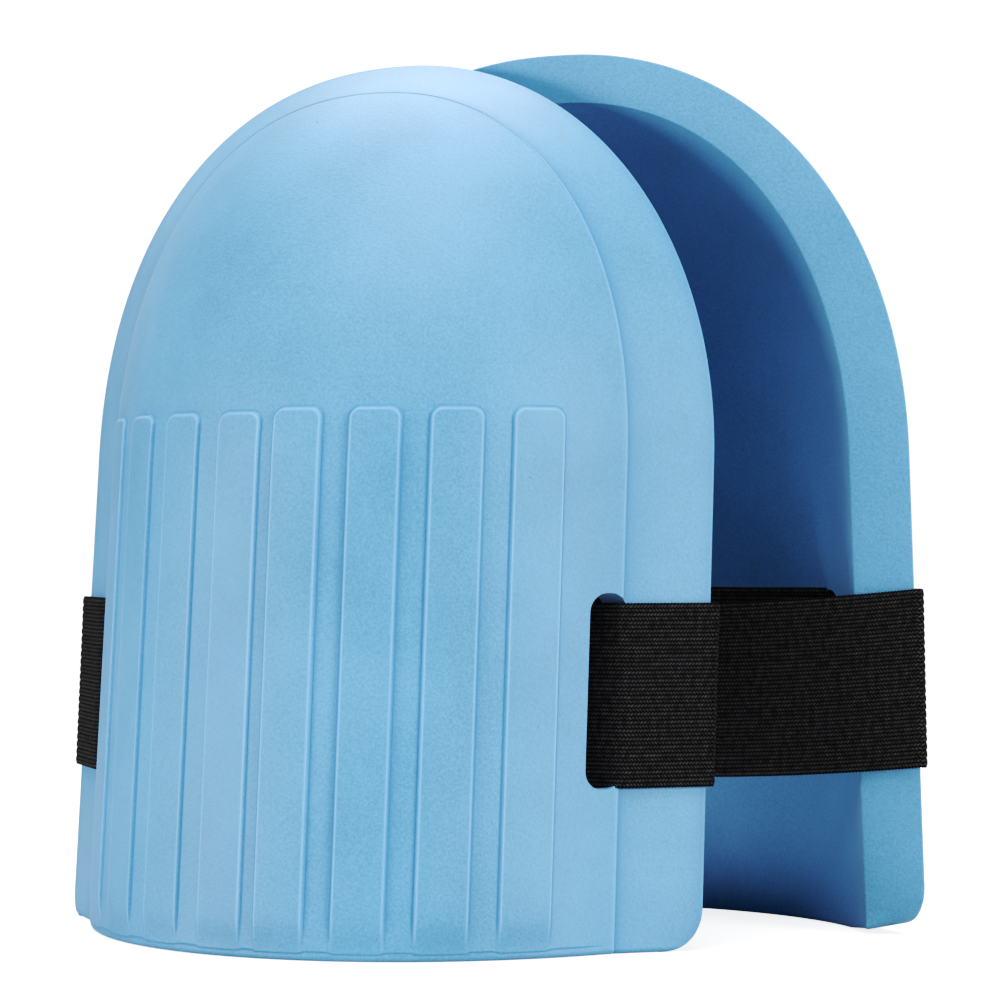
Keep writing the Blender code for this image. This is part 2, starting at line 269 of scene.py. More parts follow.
FOAM_BLUE = (0.115, 0.332, 0.59)
# How much of each channel is left where the painted shade gathers, at the ribs' feet and beside the crease
# and the rim
PAINTED_SHADE_SHARES = (0.55, 0.72, 0.84)
# The foam's texture: noise scales are cycles a metre, and bumps are in millimetres
GRAIN_SCALE = 1700.0
GRAIN_BUMP = 0.09
CLOUD_SCALE = 28.0
CLOUD_BUMP = 0.5
PIT_SCALE = 75.0
PIT_SHARE = 0.4
PIT_RADIUS = 0.03
PIT_DEPTH = 0.25
ELASTIC_BLACK = (0.044, 0.042, 0.045)
# Painted shade, near black, in the holes between the elastic's stitches
HOLE_PAINTED_SHADE = (0.001, 0.001, 0.0014)
HOOK_BLACK = (0.014, 0.014, 0.015)
LOOP_BLACK = (0.011, 0.011, 0.012)
THREAD_BLACK = (0.02, 0.02, 0.021)
AMBIENT = 0.045
BACKDROP = 1.3
FLOOR_RADIUS = 0.55
FLOOR_GREY = 0.5
FLOOR_GLOW = 0.9
# Each light's name, azimuth and elevation in degrees, distance, size and power
LIGHTS = (
    ("left", -130.0, 1.5, 1.6, (0.9, 0.22), 13.7),
    ("right", -14.0, 10.0, 1.6, (0.5, 0.6), 16.4),
    ("back", 112.0, 60.0, 1.4, (1.1, 0.9), 20.0),
    ("top", -75.0, 66.0, 1.2, (0.9, 0.9), 12.0),
)
LIGHTS_AIM = (0.0, 0.0, 0.1)
REFLECTOR_AT = (0.0, 0.0, 0.002)
REFLECTOR_SIZE = (0.1, 0.05)
REFLECTOR_POWER = 0.036
# The picture's tone curve in linear light: a little more contrast in the shadows and less in the highlights
TONE = (
    (0.02, 0.009),
    (0.065, 0.04),
    (0.14, 0.14),
    (0.21, 0.255),
    (0.35, 0.41),
    (0.5, 0.55),
    (0.7, 0.69),
    (1.0, 0.88),
)
TONE_WHITE = 1.2

CAMERA_AT = (0.35935, -0.7028, 0.0915)
CAMERA_TILT = math.radians(90.6)
CAMERA_TURN = math.radians(26.76)
CAMERA_LENS = 121.2
CAMERA_SENSOR = 36.0


# ---------------------------------------------------------------- shapes


def smoothstep(low, high, value):
    share = np.clip((value - low) / (high - low), 0.0, 1.0)
    return share * share * (3.0 - 2.0 * share)


def place(points, pad):
    """Pad frame in millimetres to the row frame in metres: lean, turn, move."""
    x, y, z = np.moveaxis(np.asarray(points, float), -1, 0)
    y = y + LEAN * z
    cos, sin = math.cos(pad["turn"]), math.sin(pad["turn"])
    at_x, at_y = pad["at"]
    return np.stack((cos * x - sin * y + at_x, sin * x + cos * y + at_y, z), axis=-1) * MM


def half_of(pad, side):
    return pad["halves"][1 if side > 0 else 0]


def outline(rise, form, power, side_inset, top_inset):
    """(half-width, height) on an arch inside the rim's.

    rise runs from 0 to 1 up the sides and from 1 to 2 over the arch.
    """
    side_z = np.minimum(rise, 1.0) * SPRING_HEIGHT
    side_half = HALF_WIDTH - form.taper * side_z - side_inset
    up = np.sin(np.clip(rise - 1.0, 0.0, 1.0) * math.pi / 2) ** (2 / ARCH_POWER)
    half = side_half * np.maximum(1.0 - up**power, 0.0) ** (1 / power)
    return half, side_z + (form.height - top_inset - SPRING_HEIGHT) * up


def rise_at(z, top_inset):
    if z <= SPRING_HEIGHT:
        return z / SPRING_HEIGHT
    share = (z - SPRING_HEIGHT) / (HEIGHT - top_inset - SPRING_HEIGHT)
    return 1 + 2 / math.pi * math.asin(share ** (ARCH_POWER / 2))


def bulge(x, z, form, power, side_inset, top_inset, arc):
    """From 1 on the centre line to 0 on the outline, a circular arc across it and over its arch."""
    across = np.abs(x) / (HALF_WIDTH - form.taper * np.minimum(z, SPRING_HEIGHT) - side_inset)
    up = np.maximum(z - SPRING_HEIGHT, 0.0) / (form.height - top_inset - SPRING_HEIGHT)
    reach = (across**power + up**power) ** (1 / power)
    sine = np.minimum(reach, 1.0) * math.sin(arc)
    return (np.sqrt(1 - sine * sine) - math.cos(arc)) / (1 - math.cos(arc))


def rib_starts():
    pitch = RIB_DEGREES + RIB_GAP_DEGREES
    return [RIB_CENTRE_GAP_DEGREES / 2 + rib * pitch for rib in range(RIBS_A_SIDE)]


def dome_angles():
    """Angles across the dome in degrees, crowded at the edges of the ribs."""
    edge = np.linspace(-EDGE_REACH, EDGE_REACH, EDGE_COLUMNS)
    across_edge = np.concatenate((edge, EDGE_OUTER_COLUMNS)) / MM_A_DEGREE
    angles = [0.0]
    for start in rib_starts():
        left = start + RIB_EDGE_INSET_DEGREES
        right = start + RIB_DEGREES - RIB_EDGE_INSET_DEGREES
        angles += list(left + across_edge) + list(right - across_edge)
        angles += [(left + right) / 2, right + RIB_GAP_DEGREES / 2]
    last = max(angles)
    crease = math.degrees(DOME_ARC)
    angles += list(np.linspace(last, crease - CREASE_COLUMNS_FROM, CREASE_COLUMNS_FAR + 1)[1:])
    angles += list(crease - np.linspace(*CREASE_COLUMNS_NEAR))
    return np.array(sorted(a for a in angles if a >= 0.0))


def rib_distance(degrees, z, rib_top=RIB_TOP):
    """Signed distance in millimetres to the nearest rib's outline, below zero on the rib."""
    nearest = np.full(np.broadcast(degrees, z).shape, 1e3)
    half = (RIB_DEGREES / 2 - RIB_EDGE_INSET_DEGREES) * MM_A_DEGREE
    for start in rib_starts():
        centre = start + RIB_DEGREES / 2
        side = np.abs(degrees - centre) * MM_A_DEGREE - (half - RIB_CORNER)
        top = z - (rib_top - RIB_CORNER)
        outside = np.hypot(np.maximum(side, 0.0), np.maximum(top, 0.0))
        inside = np.minimum(np.maximum(side, top), 0.0)
        nearest = np.minimum(nearest, outside + inside - RIB_CORNER)
    return nearest


def bezier(start, corner, end, steps):
    """Points of a quadratic curve, its two ends left out. Each argument is one point for each row."""
    out = []
    for step in range(1, steps):
        t = step / steps
        out.append((1 - t) ** 2 * start + 2 * t * (1 - t) * corner + t * t * end)
    return out


def shell_rows():
    """The rises of the shell's rows, crowded at the base and at the ribs' tops."""
    low = (BASE_ROWS, np.arange(*PARTING_ROWS), FOOT_ROWS)
    high = (np.arange(*SIDE_ROWS), np.arange(*RIB_TOP_ROWS))
    rises = [rise_at(z, CREASE_TOP_INSET) for z in np.concatenate(low + high).tolist()]
    return np.array(rises + list(np.linspace(rise_at(ARCH_FROM, CREASE_TOP_INSET), 2.0, ARCH_ROWS)))


def shell_section(rises, form):
    """A right half of a shell as rows of columns: centre line, dome, flank, rim, hollow, centre line."""
    half, z = outline(rises, form, form.dome_power, CREASE_SIDE_INSET, CREASE_TOP_INSET)
    rim_half, rim_z = outline(rises, form, form.rim_power, 0.0, 0.0)
    in_half, in_z = outline(rises, form, form.hollow_power, WALL_SIDE, form.wall_top)
    zero = np.zeros_like(z)

    def dome_point(degrees):
        angle = math.radians(degrees)
        x = half * math.sin(angle) / math.sin(DOME_ARC)
        raised = bulge(x, z, form, form.dome_power, CREASE_SIDE_INSET, CREASE_TOP_INSET, DOME_ARC)
        fade = smoothstep(RIB_FADE_FROM, RIB_FADE_TO, z)
        on_rib = smoothstep(RIB_EDGE / 2, -RIB_EDGE / 2, rib_distance(degrees, z, form.rib_top))
        lift = form.rib_height * on_rib * fade
        from_crease = (math.degrees(DOME_ARC) - degrees) * MM_A_DEGREE
        lift = lift + CREASE_LIP * math.exp(-(((from_crease - CREASE_LIP_AT) / CREASE_LIP_WIDTH) ** 2))
        foot = base_inset(degrees, z) - lift
        depth = FLANK_DEPTH + DOME_RISE * raised - foot * math.cos(angle)
        return np.stack((x - foot * math.sin(angle), -depth, z), axis=-1)

    def hollow_point(angle):
        x = in_half * math.sin(angle) / math.sin(HOLLOW_ARC)
        depth = HOLLOW_DEPTH * bulge(x, in_z, form, form.hollow_power, WALL_SIDE, form.wall_top, HOLLOW_ARC)
        return np.stack((x, -depth, in_z), axis=-1)

    drop = 1 - np.minimum(rim_z, form.corner) / form.corner
    cut = form.corner * (1 - np.sqrt(1 - drop * drop)) / math.hypot(CREASE_SIDE_INSET, FLANK_DEPTH)
    crease = np.stack((half, zero - FLANK_DEPTH, z), axis=-1)
    corner = np.stack((rim_half - cut * CREASE_SIDE_INSET, -cut * FLANK_DEPTH, rim_z), axis=-1)
    inner = np.stack((in_half, zero, in_z), axis=-1)

    columns = [dome_point(degrees) for degrees in dome_angles()]
    flank_end = crease + FLANK_END * (corner - crease)
    columns += [crease + share * (flank_end - crease) for share in FLANK_SHARES]
    rim_start = corner + RIM_START * (inner - corner)
    rim_end = corner + RIM_END * (inner - corner)
    columns += bezier(flank_end, corner, rim_start, EDGE_STEPS)
    columns += [rim_start + share * (rim_end - rim_start) for share in np.linspace(0, 1, RIM_COLUMNS)]
    hollow = [hollow_point(HOLLOW_ARC * share) for share in np.linspace(HOLLOW_START, 0.0, HOLLOW_COLUMNS)]
    columns += bezier(rim_end, inner, hollow[0], EDGE_STEPS)
    columns += hollow
    section = round_base(np.stack(columns, axis=1))
    across = np.clip((section[:, :, 0] - BASE_RISE_FROM) / (HALF_WIDTH - BASE_RISE_FROM), 0.0, 1.0)
    section[:, :, 2] += form.base_rise * across * smoothstep(BASE_RISE_TO, 0.0, section[:, :, 2])
    return section


def base_inset(degrees, z):
    """How far the dome's foot steps in below its parting line, which dips under each rib."""
    rib = rib_distance(degrees, np.full_like(z, SPRING_HEIGHT / 2))
    on_rib = smoothstep(PARTING_BLEND, -PARTING_BLEND, rib)
    line = PARTING_HEIGHT - PARTING_DIP * on_rib
    groove = PARTING_DEPTH * np.exp(-(((z - line) / PARTING_WIDTH) ** 2))
    fade = smoothstep(math.degrees(DOME_ARC) - 1.0, PARTING_END_DEGREES, degrees)
    return fade * (groove + FOOT_STEP * smoothstep(line + FOOT_STEP_FROM, line - FOOT_STEP_TO, z))


def round_base(section):
    """Draws the lowest rows inwards, to round the base's edge all the way round the section."""
    z = section[:, :, 2]
    low = np.clip(BASE_ROUND - z, 0.0, BASE_ROUND)
    inset = BASE_ROUND - np.sqrt(BASE_ROUND**2 - low**2)
    along = np.gradient(section[:, :, :2], axis=1)
    along /= np.maximum(np.linalg.norm(along, axis=2, keepdims=True), 1e-9)
    section[:, :, 0] -= inset * along[:, :, 1]
    section[:, :, 1] += inset * along[:, :, 0]
    section[:, (0, -1), 0] = 0.0
    return section


def grid_faces(rows, columns, offset=0, flip=False):
    faces = []
    for row in range(rows - 1):
        for column in range(columns - 1):
            low = offset + row * columns + column
            quad = (low, low + 1, low + columns + 1, low + columns)
            faces.append(quad[::-1] if flip else quad)
    return faces


def new_piece(name, points, faces, smooth_angle=None):
    mesh = bpy.data.meshes.new(name)
    mesh.from_pydata(points.tolist(), [], faces)
    mesh.update()
    piece = bpy.data.objects.new(name, mesh)
    bpy.context.scene.collection.objects.link(piece)
    finish_surface(mesh, smooth_angle)
    return piece


def finish_surface(mesh, smooth_angle):
    mesh.shade_smooth()
    if smooth_angle is not None:
        mesh.set_sharp_from_angle(angle=math.radians(smooth_angle))


def weld(mesh, distance):
    bm = bmesh.new()
    bm.from_mesh(mesh)
    bmesh.ops.remove_doubles(bm, verts=bm.verts, dist=distance)
    bmesh.ops.dissolve_degenerate(bm, dist=distance / 10, edges=bm.edges)
    bm.to_mesh(mesh)
    bm.free()


def slot_cutter(side, pad):
    """A rounded bar through one side wall beside the crease."""
    rear_x = rim_corner_x(pad, side) - SLOT_REAR_SHARE * CREASE_SIDE_INSET
    rear_y = -SLOT_REAR_SHARE * FLANK_DEPTH
    axis = np.array((math.cos(SLOT_ANGLE), -math.sin(SLOT_ANGLE)))
    across = np.array((axis[1], -axis[0]))
    middle = np.array((rear_x, rear_y)) - axis * SLOT_CUT_BACK + across * SLOT_WIDTH / 2
    half_tall = (SLOT_TOP - SLOT_BOTTOM) / 2
    profile = rounded_rectangle(SLOT_WIDTH / 2, half_tall, SLOT_CORNER, SLOT_CORNER_STEPS)
    rings = []
    for end in (-0.5, 0.5):
        centre = middle + axis * end * SLOT_CUT_LENGTH
        ring = [(*(centre + across * u), (SLOT_TOP + SLOT_BOTTOM) / 2 + v) for u, v in profile]
        rings.append(ring)
    points = np.array(rings[0] + rings[1])
    points[:, 0] *= side
    count = len(profile)
    faces = [(i, (i + 1) % count, count + (i + 1) % count, count + i) for i in range(count)]
    faces += [tuple(range(count))[::-1], tuple(range(count, 2 * count))]
    if side > 0:
        faces = [face[::-1] for face in faces]
    return new_piece("slot_cutter", place(points, pad), faces)


def rounded_rectangle(half_long, half_tall, corner, steps):
    points = []
    for quarter in range(4):
        centre_u = (half_long - corner) * (1 if quarter in (0, 3) else -1)
        centre_v = (half_tall - corner) * (1 if quarter in (0, 1) else -1)
        for step in range(steps + 1):
            angle = (quarter + step / steps) * math.pi / 2
            points.append((centre_u + corner * math.cos(angle), centre_v + corner * math.sin(angle)))
    return points


def cut_slots(shell, pad):
    for side in (1, -1):
        cutter = slot_cutter(side, pad)
        modifier = shell.modifiers.new("slot", "BOOLEAN")
        modifier.operation = "DIFFERENCE"
        modifier.solver = "EXACT"
        modifier.object = cutter
        bpy.context.view_layer.update()
        evaluated = shell.evaluated_get(bpy.context.evaluated_depsgraph_get())
        mesh = bpy.data.meshes.new_from_object(evaluated)
        shell.modifiers.clear()
        old = shell.data
        shell.data = mesh
        bpy.data.meshes.remove(old)
        bpy.data.objects.remove(cutter)


def painted_edge_shading(section, rib_top):
    """For each point, above 0 for a painted highlight on a rib's shoulder or the crease's lip, and below 0
    for painted shade at a rib's foot and on the flank beside the crease and the rim.
    """
    degrees = dome_angles()[None, :]
    dome_columns = degrees.size
    z = section[:, :dome_columns, 2]
    distance = rib_distance(degrees, z, rib_top)
    fade = smoothstep(RIB_FADE_FROM, RIB_FADE_TO, z)
    painted_shading = np.zeros(section.shape[:2])
    # Painted highlight on each rib's shoulder and painted shade at its foot
    shoulder = np.exp(-(((distance + RIB_EDGE * 0.5) / PAINTED_EDGE_WIDTH) ** 2))
    foot = np.exp(-(((distance - RIB_EDGE * 0.5) / PAINTED_EDGE_WIDTH) ** 2))
    from_crease = (math.degrees(DOME_ARC) - degrees) * MM_A_DEGREE
    lip = np.exp(-(((from_crease - CREASE_LIP_AT) / LIP_PAINTED_HIGHLIGHT_WIDTH) ** 2))
    painted_shading[:, :dome_columns] = (shoulder - FOOT_PAINTED_SHADE * foot) * fade + LIP_PAINTED_HIGHLIGHT * lip
    length = math.hypot(CREASE_SIDE_INSET, FLANK_DEPTH)
    along = FLANK_SHARES * length
    # Painted shade on the flank beside the crease, a thin line of painted shade at the crease, and painted
    # shade beside the rim
    shade = CREASE_PAINTED_SHADE * np.exp(-along / CREASE_PAINTED_SHADE_WIDTH)
    shade += CREASE_PAINTED_LINE * np.exp(-along / CREASE_PAINTED_LINE_WIDTH)
    shade += RIM_PAINTED_SHADE * np.exp((along - length) / RIM_PAINTED_SHADE_WIDTH)
    painted_shading[:, dome_columns : dome_columns + along.size] = -shade
    return painted_shading


def foam_shell(prefix, pad, material):
    left_form, right_form = pad["halves"]
    left_section = shell_section(shell_rows(), left_form)
    right_section = shell_section(shell_rows(), right_form)
    # Painted highlight and painted shade for each point, kept on the shell
    left_painted_shading = painted_edge_shading(left_section, left_form.rib_top).ravel()
    right_painted_shading = painted_edge_shading(right_section, right_form.rib_top).ravel()
    rows, columns, _ = right_section.shape
    right = right_section.reshape(-1, 3)
    left = left_section.reshape(-1, 3) * (-1, 1, 1)
    faces = grid_faces(rows, columns) + grid_faces(rows, columns, len(right), flip=True)
    faces += [tuple(range(columns))[::-1], tuple(range(len(right), len(right) + columns))]
    points = place(np.concatenate((right, left)), pad)
    shell = new_piece(prefix + "_foam", points, faces)
    attribute = shell.data.attributes.new("painted_edge_shading", "FLOAT", "POINT")
    attribute.data.foreach_set("value", np.concatenate((right_painted_shading, left_painted_shading)).astype(np.float32))
    weld(shell.data, SHELL_WELD * MM)
    cut_slots(shell, pad)
    finish_surface(shell.data, SHELL_SMOOTH_ANGLE)
    shell.data.materials.clear()
    shell.data.materials.append(material)
    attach(shell, prefix + "_pad")
    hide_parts(prefix + "_foam_shell")


# ---------------------------------------------------------------- strap


def rim_corner_x(pad, side):
    return HALF_WIDTH - half_of(pad, side).taper * (STRAP_BOTTOM + STRAP_WIDTH / 2)


def arc(centre, radius, start, end):
    angles = np.linspace(start, end, FOLD_STEPS + 1)
    return [(centre[0] + radius * math.cos(a), centre[1] + radius * math.sin(a)) for a in angles]


def main_run_path(pad):
    """The middle of the fixed strap in plan, from the left fold through both slots to the right fold."""
    left = [(-x, y) for x, y in reversed(flank_path(rim_corner_x(pad, -1)))]
    return left + flank_path(rim_corner_x(pad, 1))


def flank_path(corner_x):
    """From the bend inside a slot out along the right flank to the fold."""
    offset = STRAP_CLEARANCE + STRAP_THICKNESS / 2
    flank = math.hypot(CREASE_SIDE_INSET, FLANK_DEPTH)
    along_x, along_y = CREASE_SIDE_INSET / flank, FLANK_DEPTH / flank
    end = (corner_x + along_y * offset, -along_x * offset)
    turn = math.atan2(along_y, along_x)
    bend = (end[0] - along_x * flank, end[1] - along_y * flank)
    centre = (bend[0] - STRAP_BEND * math.tan(turn / 2), bend[1] + STRAP_BEND)
    return arc(centre, STRAP_BEND, -math.pi / 2, -math.pi / 2 + turn) + [end]


def flap_path(side, outward, pad):
    """The middle of a flap in plan, round the rim from the end of the main run to its free end."""
    near = STRAP_CLEARANCE + STRAP_THICKNESS / 2
    flank_turn = math.atan2(FLANK_DEPTH, CREASE_SIDE_INSET)
    path = arc((rim_corner_x(pad, side), 0.0), near, flank_turn - math.pi / 2, math.pi / 2)
    if outward:
        for share in np.linspace(0, 1, RAMP_STEPS):
            rise = 0.5 - 0.5 * math.cos(math.pi * share)
            path.append((RAMP_END + RAMP_LENGTH * (1 - share), near + outward * rise))
    path.append((-OVERLAP_HALF, near + outward))
    return path if side > 0 else [(-x, y) for x, y in reversed(path)]


def resample(path, pitch):
    """(points, distances) evenly along a path in plan."""
    path = np.array(path)
    lengths = np.concatenate(([0.0], np.cumsum(np.hypot(*np.diff(path, axis=0).T))))
    count = max(int(round(lengths[-1] / pitch)), 2)
    distances = np.linspace(0.0, lengths[-1], count + 1)
    points = np.stack([np.interp(distances, lengths, path[:, i]) for i in (0, 1)], axis=-1)
    return points, distances


def strap_profile():
    """One ring of the strap's cross-section: up its outer face and down its inner face.

    Each point is (offset, height, share across the strap, edge: 1 on the top one, -1 on the bottom one).
    """
    steps = np.array(WALE_STEPS)
    across = np.concatenate([(wale + steps) / WALES for wale in range(WALES)] + [[1.0]])
    ridge = WALE_DEPTH * (1 - np.abs(np.sin(math.pi * across * WALES)) ** WALE_ROUNDNESS)
    face = STRAP_THICKNESS / 2 - ridge
    height = across * STRAP_WIDTH
    ring = [(face[i], height[i], across[i], 0.0) for i in range(len(across))]
    ring += [(u, STRAP_WIDTH + v, 1.0, 1.0) for u, v in EDGE_BEAD]
    ring += [(-face[i], height[i], across[i], 0.0) for i in reversed(range(len(across)))]
    ring += [(-u, -v, 0.0, -1.0) for u, v in EDGE_BEAD]
    return np.array(ring)


def strap_lift(points, is_run, pad):
    """How much higher than its CAD solid the strap lies at each point along it."""
    x = points[:, 0]
    left, right = pad["fold_lift"]
    at_fold = np.where(x < 0, left, right)
    if is_run:
        inside = smoothstep(RUN_LIFT_FROM, RUN_LIFT_TO, np.abs(x))
        return at_fold + (pad["run_lift"] - at_fold) * inside
    share = np.clip((np.abs(x) - SAG_END) / (rim_corner_x(pad, 1) - SAG_END), 0.0, 1.0)
    return pad["middle_lift"] + (at_fold - pad["middle_lift"]) * share**SAG_POWER


def elastic_band(name, path, start, pad, material, is_run=False):
    """A ribbed elastic strap along a path in plan. Its stitches are counted on from the distance start."""
    points, distances = resample(path, STITCH_PITCH / 2)
    tangents = np.gradient(points, axis=0)
    tangents /= np.linalg.norm(tangents, axis=1)[:, None]
    normals = np.stack((tangents[:, 1], -tangents[:, 0]), axis=-1)
    ring = strap_profile()
    lift = strap_lift(points, is_run, pad)
    tooth = EDGE_TOOTH * np.where(np.arange(len(points)) % 2 == 0, 1.0, -1.0)
    x = points[:, 0:1] + normals[:, 0:1] * ring[None, :, 0]
    y = points[:, 1:2] + normals[:, 1:2] * ring[None, :, 0]
    z = STRAP_BOTTOM + lift[:, None] + ring[None, :, 1] + tooth[:, None] * ring[None, :, 3]
    grid = np.stack((x, y, z), axis=-1)
    rows, columns, _ = grid.shape
    faces = []
    for row in range(rows - 1):
        for column in range(columns):
            after = (column + 1) % columns
            low = row * columns
            faces.append((low + column, low + columns + column, low + columns + after, low + after))
    faces += [tuple(range(columns)), tuple(range((rows - 1) * columns, rows * columns))[::-1]]
    piece = new_piece(name, place(grid.reshape(-1, 3), pad), faces, STRAP_SMOOTH_ANGLE)
    weave_map(piece.data, (start + distances) / STITCH_PITCH, ring[:, 2] * WALES, columns)
    piece.data.materials.append(material)
    return piece


def weave_map(mesh, stitches, wales, columns):
    """A named map that counts stitches along the strap and wales across it."""
    layer = mesh.uv_layers.new(name="weave")
    corners = np.empty(len(mesh.loops), np.int32)
    mesh.loops.foreach_get("vertex_index", corners)
    values = np.stack((stitches[corners // columns], wales[corners % columns]), axis=-1)
    layer.uv.foreach_set("vector", values.astype(np.float32).ravel())


def path_length(path):
    return float(np.hypot(*np.diff(np.array(path), axis=0).T).sum())


def strap(prefix, pad, materials):
    hook_side = pad["hook_side"]
    outward = 2 * PATCH_THICKNESS + 3 * LAYER_GAP + STRAP_THICKNESS
    run = main_run_path(pad)
    length = path_length(run)
    main = elastic_band(prefix + "_elastic_run", run, 0.0, pad, materials["elastic"], is_run=True)
    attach(main, prefix + "_pad")
    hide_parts(prefix + "_strap_main_run")
    for kind, side, step_out in (("hook", hook_side, outward), ("loop", -hook_side, 0.0)):
        path = flap_path(side, step_out, pad)
        start = length if side > 0 else -path_length(path)
        flap = elastic_band(f"{prefix}_elastic_{kind}_end", path, start, pad, materials["elastic"])
        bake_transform(flap)
        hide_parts(f"{prefix}_strap_{kind}_end")


def slab(name, y_near, pad, material, body):
    """A piece of hook or loop tape with a rounded outline and rounded edges."""
    middle_z = STRAP_BOTTOM + STRAP_WIDTH / 2
    layers = (
        (PATCH_EASE, 0.0),
        (0.0, PATCH_EASE),
        (0.0, PATCH_THICKNESS - PATCH_EASE),
        (PATCH_EASE, PATCH_THICKNESS),
    )
    points = []
    for inset, depth in layers:
        half_long = PATCH_LENGTH / 2 - inset
        half_tall = PATCH_WIDTH / 2 - inset
        ring = rounded_rectangle(half_long, half_tall, PATCH_CORNER - inset, PATCH_CORNER_STEPS)
        points += [(u, y_near + depth, middle_z + v) for u, v in ring]
    count = len(points) // len(layers)
    faces = []
    for layer in range(len(layers) - 1):
        for i in range(count):
            low, after = layer * count + i, layer * count + (i + 1) % count
            faces.append((low, low + count, after + count, after))
    faces += [tuple(range(count)), tuple(range((len(layers) - 1) * count, len(layers) * count))[::-1]]
    piece = new_piece(name, place(points, pad), faces, PATCH_SMOOTH_ANGLE)
    piece.data.materials.append(material)
    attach(piece, body)
    return piece


def seam(name, y_middle, pad, material, body):
    """A lockstitch seam round a patch: one short bowed thread for each stitch."""
    half_long = PATCH_LENGTH / 2 - STITCH_INSET
    half_tall = PATCH_WIDTH / 2 - STITCH_INSET
    loop = rounded_rectangle(half_long, half_tall, PATCH_CORNER / 2, SEAM_CORNER_STEPS)
    line, _ = resample(loop + [loop[0]], THREAD_STITCH)
    points = []
    faces = []
    sides = THREAD_SIDES
    for start, end in zip(line, line[1:]):
        along = (end - start) / np.linalg.norm(end - start)
        across = np.array((-along[1], along[0]))
        for share in np.linspace(THREAD_END, 1 - THREAD_END, THREAD_RINGS):
            centre = start + share * (end - start)
            radius = THREAD_RADIUS * math.sin(math.pi * share) ** THREAD_TAPER
            for k in range(sides):
                turn = 2 * math.pi * k / sides
                flat = centre + across * radius * math.cos(turn)
                points.append((flat[0], y_middle + radius * math.sin(turn), flat[1]))
        base = len(points) - THREAD_RINGS * sides
        last = len(points) - sides
        for ring in range(THREAD_RINGS - 1):
            for k in range(sides):
                low, after = base + ring * sides + k, base + ring * sides + (k + 1) % sides
                faces.append((low, after, after + sides, low + sides))
        faces.append(tuple(range(base, base + sides))[::-1])
        faces.append(tuple(range(last, last + sides)))
    points = np.array(points)
    points[:, 2] += STRAP_BOTTOM + STRAP_WIDTH / 2
    piece = new_piece(name, place(points, pad), faces, THREAD_SMOOTH_ANGLE)
    piece.data.materials.append(material)
    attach(piece, body)
    return piece


def closure(prefix, pad, materials):
    loop_elastic = STRAP_CLEARANCE
    loop_patch = loop_elastic + STRAP_THICKNESS + LAYER_GAP
    hook_patch = loop_patch + PATCH_THICKNESS + LAYER_GAP
    hook_elastic = hook_patch + PATCH_THICKNESS + LAYER_GAP
    hook_body, loop_body = prefix + "_hook_flap", prefix + "_loop_flap"
    piece = slab(prefix + "_hook_tape", hook_patch, pad, materials["hook"], hook_body)
    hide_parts(prefix + "_hook_patch")
    piece = slab(prefix + "_loop_tape", loop_patch, pad, materials["loop"], loop_body)
    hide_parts(prefix + "_loop_patch")
    seam_gap = THREAD_RADIUS * SEAM_GAP
    hook_seam = hook_elastic + STRAP_THICKNESS + seam_gap
    piece = seam(prefix + "_hook_seam", hook_seam, pad, materials["thread"], hook_body)
    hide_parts(prefix + "_hook_stitching")
    piece = seam(prefix + "_loop_seam", loop_elastic - seam_gap, pad, materials["thread"], loop_body)
    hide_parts(prefix + "_loop_stitching")


# ---------------------------------------------------------------- materials


class Look:
    """A Principled material and short ways to add nodes to it."""

    def __init__(self, name, colour, roughness):
        self.material = bpy.data.materials.new(name)
        self.material.use_nodes = True
        self.nodes = self.material.node_tree.nodes
        self.links = self.material.node_tree.links
        self.shader = self.nodes["Principled BSDF"]
        self.shader.inputs["Base Color"].default_value = (*colour, 1.0)
        self.shader.inputs["Roughness"].default_value = roughness

    def add(self, kind, inputs=None, **settings):
        node = self.nodes.new(kind)
        for key, value in settings.items():
            setattr(node, key, value)
        for key, value in (inputs or {}).items():
            if isinstance(value, bpy.types.NodeSocket):
                self.links.new(value, node.inputs[key])
            else:
                node.inputs[key].default_value = value
        return node

    def math(self, operation, *values):
        inputs = dict(enumerate(values))
        return self.add("ShaderNodeMath", inputs, operation=operation).outputs[0]

    def remap(self, value, low, high, to_low, to_high):
        inputs = {"Value": value, 1: low, 2: high, 3: to_low, 4: to_high}
        return self.add("ShaderNodeMapRange", inputs).outputs[0]

    def noise(self, vector, scale, detail=2.0, roughness=0.5):
        inputs = {"Vector": vector, "Scale": scale, "Detail": detail, "Roughness": roughness}
        return self.add("ShaderNodeTexNoise", inputs).outputs["Fac"]

    def mix(self, share, first, second):
        node = self.add("ShaderNodeMix", data_type="RGBA")
        for index, value in ((0, share), (6, first), (7, second)):
            if isinstance(value, bpy.types.NodeSocket):
                self.links.new(value, node.inputs[index])
            else:
                node.inputs[index].default_value = value
        return node.outputs[2]

    def bump(self, height, distance, strength=1.0, normal=None):
        inputs = {"Height": height, "Distance": distance, "Strength": strength}
        if normal is not None:
            inputs["Normal"] = normal
        return self.add("ShaderNodeBump", inputs).outputs[0]

    def drive(self, socket, value):
        self.links.new(value, self.shader.inputs[socket])


